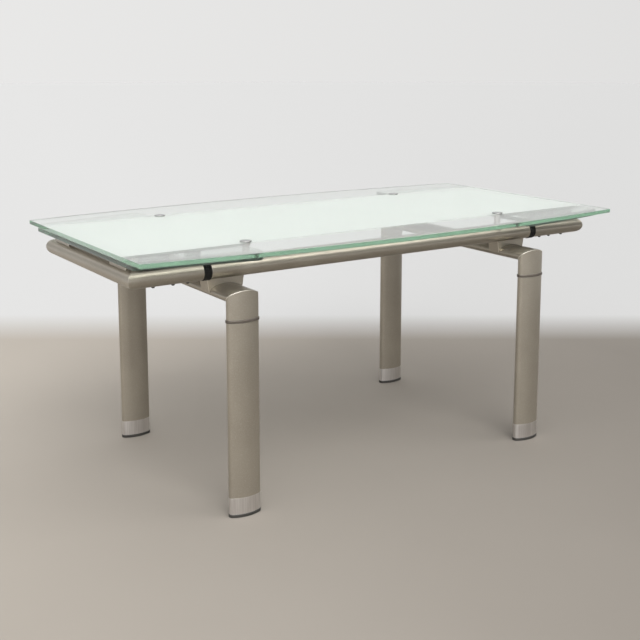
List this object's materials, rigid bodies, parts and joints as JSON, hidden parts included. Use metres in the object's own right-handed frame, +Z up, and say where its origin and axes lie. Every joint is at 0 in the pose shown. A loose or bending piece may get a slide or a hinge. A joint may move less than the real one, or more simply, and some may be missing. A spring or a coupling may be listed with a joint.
{
  "type": "extendable dining table",
  "caption": "Extending dining table: bowed clear glass top with a white centre band on oval arched legs, with glass leaves on end frames that pull out.",
  "frame": {"origin": "centre of the table's footprint, on the floor", "axes": "+X along the table towards its right end, +Y to the rear long side, +Z up"},
  "size_m": [1.7, 0.9476, 0.7525],
  "materials": {
    "clear_glass": "polished clear float glass with a green edge",
    "white_lacquer": "white lacquer on the underside of the glass",
    "frame_paint": "satin metallic, warm champagne grey",
    "bright_metal": "satin, brushed along its length",
    "black_rubber": "matte, ribbed",
    "dark_plastic": "matte dark grey",
    "steel": "drawn",
    "black_steel": "blackened"
  },
  "bodies": {
    "base": {"glass_top": "clear_glass", "top_band": "white_lacquer", "glass_caps": "bright_metal", "post_fl": "bright_metal", "post_fr": "bright_metal", "post_rl": "bright_metal", "post_rr": "bright_metal", "rail_front": "frame_paint", "rail_rear": "frame_paint", "ring_fl": "black_rubber", "ring_fr": "black_rubber", "ring_rl": "black_rubber", "ring_rr": "black_rubber", "saddle_fl": "frame_paint", "saddle_fr": "frame_paint", "saddle_rl": "frame_paint", "saddle_rr": "frame_paint", "beam_left": "frame_paint", "beam_right": "frame_paint", "head_fl": "frame_paint", "head_fr": "frame_paint", "head_rl": "frame_paint", "head_rr": "frame_paint", "seam_rings": "dark_plastic", "leg_plugs": "steel", "leg_fl": "frame_paint", "leg_fr": "frame_paint", "leg_rl": "frame_paint", "leg_rr": "frame_paint", "sleeve_fl": "bright_metal", "sleeve_fr": "bright_metal", "sleeve_rl": "bright_metal", "sleeve_rr": "bright_metal", "foot_fl": "dark_plastic", "foot_fr": "dark_plastic", "foot_rl": "dark_plastic", "foot_rr": "dark_plastic"},
    "left_frame": {"end_tube_left": "frame_paint", "arm_fl": "frame_paint", "arm_rl": "frame_paint", "bar_fl": "steel", "bar_rl": "steel", "glides_left": "dark_plastic", "leaf_left": "clear_glass", "leaf_band_left": "white_lacquer", "leaf_strips_left": "frame_paint", "leaf_pads_left": "dark_plastic", "screws_left": "black_steel"},
    "right_frame": {"end_tube_right": "frame_paint", "arm_fr": "frame_paint", "arm_rr": "frame_paint", "bar_fr": "steel", "bar_rr": "steel", "glides_right": "dark_plastic", "leaf_right": "clear_glass", "leaf_band_right": "white_lacquer", "leaf_strips_right": "frame_paint", "leaf_pads_right": "dark_plastic", "screws_right": "black_steel"}
  },
  "joints": [
    {"name": "left_pull_out", "type": "slide", "parent": "base", "child": "left_frame", "axis": [-1, 0, 0], "range_m": [0, 0.368]},
    {"name": "right_pull_out", "type": "slide", "parent": "base", "child": "right_frame", "axis": [1, 0, 0], "range_m": [0, 0.368]}
  ]
}
